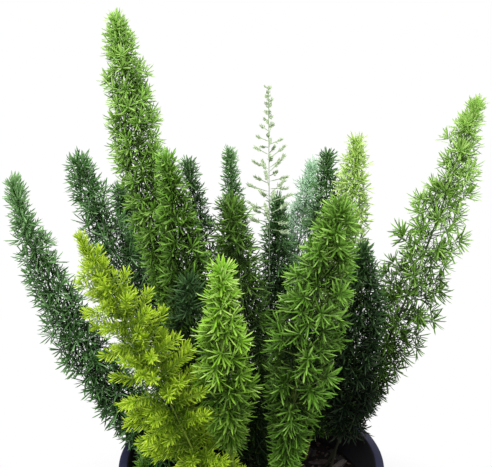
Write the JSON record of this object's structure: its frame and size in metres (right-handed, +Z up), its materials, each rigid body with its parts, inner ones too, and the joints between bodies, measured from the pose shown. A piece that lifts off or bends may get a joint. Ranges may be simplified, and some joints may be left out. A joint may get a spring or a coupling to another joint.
{
  "type": "potted foxtail fern",
  "caption": "Foxtail fern in a round tapered nursery pot: upright, arching plumes of short flat needles rise from dark potting mix.",
  "frame": {"origin": "centre of the pot's underside, where the plant stands on a surface", "axes": "+Z up along the pot's axis, -Y towards the front, where the lime and centre fronds lean out, and +X towards the far right frond"},
  "size_m": [0.3341, 0.2312, 0.5219],
  "materials": {
    "pot_plastic": "satin",
    "potting_mix": "matte",
    "stem_green": "satin",
    "stem_pale": "satin",
    "leaf_dark": "satin",
    "leaf_green": "satin",
    "leaf_bright": "satin",
    "leaf_lime": "satin",
    "leaf_blue": "satin",
    "leaf_pale": "satin"
  },
  "bodies": {
    "root": {"pot": "pot_plastic", "potting_mix": "potting_mix", "far_left_stem": "stem_green", "far_left_foliage": "leaf_dark", "left_stem": "stem_green", "left_foliage": "leaf_dark", "inner_left_stem": "stem_green", "inner_left_foliage": "leaf_dark", "tall_stem": "stem_green", "tall_foliage": "leaf_green", "mid_left_stem": "stem_green", "mid_left_foliage": "leaf_green", "back_left_stem": "stem_green", "back_left_foliage": "leaf_dark", "lime_stem": "stem_green", "lime_foliage": "leaf_lime", "centre_stem": "stem_green", "centre_foliage": "leaf_bright", "short_stem": "stem_green", "short_foliage": "leaf_dark", "back_stem": "stem_green", "back_foliage": "leaf_dark", "middle_stem": "stem_green", "middle_foliage": "leaf_green", "young_stem": "stem_pale", "young_foliage": "leaf_pale", "back_centre_stem": "stem_green", "back_centre_foliage": "leaf_dark", "blue_stem": "stem_green", "blue_foliage": "leaf_blue", "back_right_stem": "stem_green", "back_right_foliage": "leaf_dark", "bright_stem": "stem_green", "bright_foliage": "leaf_bright", "front_right_stem": "stem_green", "front_right_foliage": "leaf_green", "right_stem": "stem_green", "right_foliage": "leaf_dark", "far_right_stem": "stem_green", "far_right_foliage": "leaf_green", "sprig_stem": "stem_green", "sprig_foliage": "leaf_green"}
  },
  "joints": []
}
